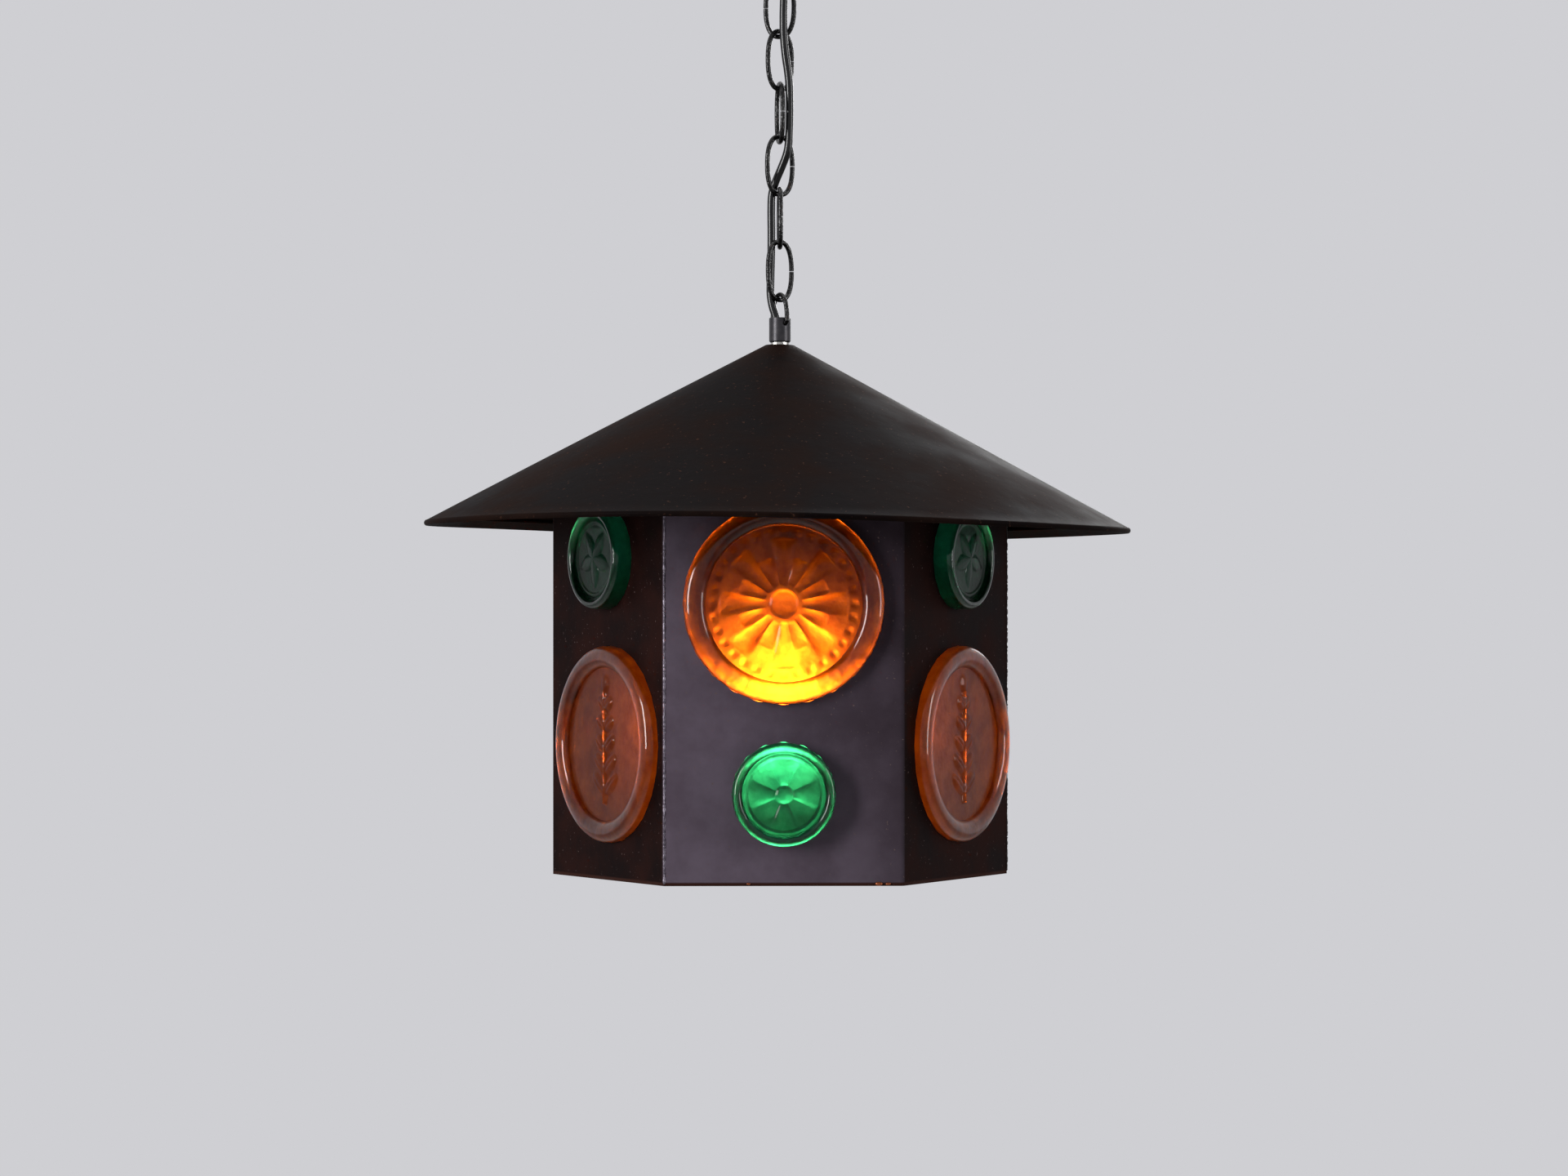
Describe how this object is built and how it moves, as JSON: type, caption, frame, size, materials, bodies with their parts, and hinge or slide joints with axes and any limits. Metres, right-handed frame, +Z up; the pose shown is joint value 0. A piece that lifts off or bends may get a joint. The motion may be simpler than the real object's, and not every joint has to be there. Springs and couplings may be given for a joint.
{
  "type": "hanging lantern",
  "caption": "Hexagonal sheet-metal lantern with round cast glass lenses under a wide conical roof, hung by a bail and chain from a ceiling hook, with its flex threaded through the chain.",
  "frame": {"origin": "centre of the ceiling plate's top face, where the lantern is fixed to the ceiling", "axes": "+Z up, out of the ceiling plate's top face; -Y towards the pictured front face; +X to the right seen from the front"},
  "size_m": [0.443, 0.443, 0.6309],
  "materials": {
    "patinated_sheet": "sheet metal with an uneven brown-black to grey-violet patina, satin",
    "blackened_steel": "black enamelled steel wire and stampings, semi-gloss, rust-brown at the worn spots",
    "zinc_steel": "bright zinc-plated turned steel",
    "solder": "dull grey soft solder",
    "amber_glass": "thick cast amber glass, glossy, with a moulded relief on its face",
    "green_glass": "thick cast emerald glass, glossy, with a moulded relief on its face",
    "bulb_glass": "frosted inside, lit warm white",
    "bakelite": "dark brown phenolic moulding",
    "porcelain": "white glazed porcelain",
    "brass": "pressed brass",
    "rubber": "matte black rubber",
    "cord_sheath": "glossy black PVC sheath"
  },
  "bodies": {
    "ceiling": {"ceiling_plate": "blackened_steel", "canopy": "blackened_steel", "canopy_nut": "blackened_steel", "ceiling_hook": "blackened_steel", "cord_bush": "rubber", "terminal_block": "porcelain", "flex_cord": "cord_sheath"},
    "link_1": {"chain_link_1": "blackened_steel"},
    "link_2": {"chain_link_2": "blackened_steel"},
    "link_3": {"chain_link_3": "blackened_steel"},
    "link_4": {"chain_link_4": "blackened_steel"},
    "link_5": {"chain_link_5": "blackened_steel"},
    "link_6": {"chain_link_6": "blackened_steel"},
    "bail": {"suspension_bail": "blackened_steel"},
    "lantern": {"hanger_sleeve": "blackened_steel", "apex_washer": "zinc_steel", "threaded_tube": "zinc_steel", "roof_nut": "zinc_steel", "strap_nut_upper": "zinc_steel", "strap_nut_lower": "zinc_steel", "roof": "patinated_sheet", "wall_sheet_1": "patinated_sheet", "wall_sheet_2": "patinated_sheet", "wall_sheet_3": "patinated_sheet", "seam_solder_1": "solder", "seam_solder_2": "solder", "seam_solder_3": "solder", "amber_disc_1": "amber_glass", "amber_disc_2": "amber_glass", "amber_disc_3": "amber_glass", "amber_disc_4": "amber_glass", "amber_disc_5": "amber_glass", "amber_disc_6": "amber_glass", "green_disc_1": "green_glass", "green_disc_2": "green_glass", "green_disc_3": "green_glass", "green_disc_4": "green_glass", "green_disc_5": "green_glass", "green_disc_6": "green_glass", "bridge_strap": "blackened_steel", "strap_rivet_front": "blackened_steel", "strap_rivet_back": "blackened_steel", "holder_cap": "bakelite", "holder_insert": "porcelain", "holder_shell": "brass", "centre_contact": "brass", "holder_ring": "bakelite"},
    "bulb": {"bulb_cap": "zinc_steel", "bulb_glass": "bulb_glass"}
  },
  "joints": [
    {"name": "link_1_swing", "type": "hinge", "parent": "ceiling", "child": "link_1", "pos_m": [0, 0, -0.07225], "axis": [0.3746, 0.9272, 0], "range_deg": [-30, 30], "deforming": ["flex_cord"]},
    {"name": "link_2_swing", "type": "hinge", "parent": "link_1", "child": "link_2", "pos_m": [0, 0, -0.1044], "axis": [0.9272, -0.3746, 0], "range_deg": [-30, 30], "deforming": ["flex_cord"]},
    {"name": "link_3_swing", "type": "hinge", "parent": "link_2", "child": "link_3", "pos_m": [0, 0, -0.1375], "axis": [0.7986, 0.6018, 0], "range_deg": [-30, 30], "deforming": ["flex_cord"]},
    {"name": "link_4_swing", "type": "hinge", "parent": "link_3", "child": "link_4", "pos_m": [0, 0, -0.1706], "axis": [-0.1736, 0.9848, 0], "range_deg": [-30, 30], "deforming": ["flex_cord"]},
    {"name": "link_5_swing", "type": "hinge", "parent": "link_4", "child": "link_5", "pos_m": [0, 0, -0.2037], "axis": [0.8387, 0.5446, 0], "range_deg": [-30, 30], "deforming": ["flex_cord"]},
    {"name": "link_6_swing", "type": "hinge", "parent": "link_5", "child": "link_6", "pos_m": [0, 0, -0.2368], "axis": [-0.0349, 0.9994, 0], "range_deg": [-30, 30], "deforming": ["flex_cord"]},
    {"name": "bail_swing", "type": "hinge", "parent": "link_6", "child": "bail", "pos_m": [0, 0, -0.2699], "axis": [0.788, 0.6157, 0], "range_deg": [-30, 30], "deforming": ["flex_cord"]},
    {"name": "lantern_swing", "type": "hinge", "parent": "bail", "child": "lantern", "pos_m": [0, 0, -0.2849], "axis": [0.5, -0.866, 0], "range_deg": [-30, 30], "deforming": ["flex_cord"]},
    {"name": "bulb_turn", "type": "hinge", "parent": "lantern", "child": "bulb", "pos_m": [0, 0, -0.4717], "axis": [0, 0, 1], "range_deg": [-990, 0]}
  ]
}
